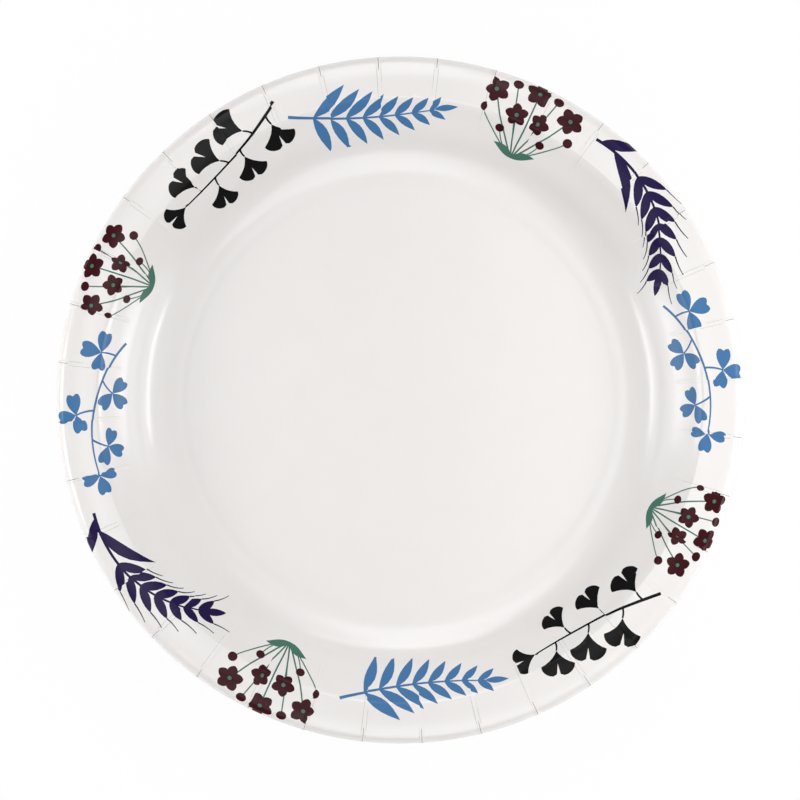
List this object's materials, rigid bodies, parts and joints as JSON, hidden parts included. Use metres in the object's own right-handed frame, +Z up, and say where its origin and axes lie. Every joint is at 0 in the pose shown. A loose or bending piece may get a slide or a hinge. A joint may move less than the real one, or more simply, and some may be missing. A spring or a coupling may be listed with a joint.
{
  "type": "stack of paper plates",
  "caption": "Neat stack of nested round printed paper plates with a deep well, pleated wall and rim, and a lip that turns down.",
  "frame": {"origin": "middle of the lowest plate's underside, on the surface that the stack stands on", "axes": "+Z up through the middle of the plates; +Y points to the top of the printed face as it is seen from above"},
  "size_m": [0.2558, 0.2558, 0.0456],
  "materials": {
    "coated_paperboard": "satin coated white face with a printed border, uncoated back and cut edge"
  },
  "bodies": {
    "root": {"plate_01": "coated_paperboard", "plate_02": "coated_paperboard", "plate_03": "coated_paperboard", "plate_04": "coated_paperboard", "plate_05": "coated_paperboard", "plate_06": "coated_paperboard", "plate_07": "coated_paperboard", "plate_08": "coated_paperboard", "plate_09": "coated_paperboard", "plate_10": "coated_paperboard", "plate_11": "coated_paperboard", "plate_12": "coated_paperboard", "plate_13": "coated_paperboard", "plate_14": "coated_paperboard", "plate_15": "coated_paperboard", "plate_16": "coated_paperboard", "plate_17": "coated_paperboard", "plate_18": "coated_paperboard", "plate_19": "coated_paperboard", "plate_20": "coated_paperboard"}
  },
  "joints": []
}
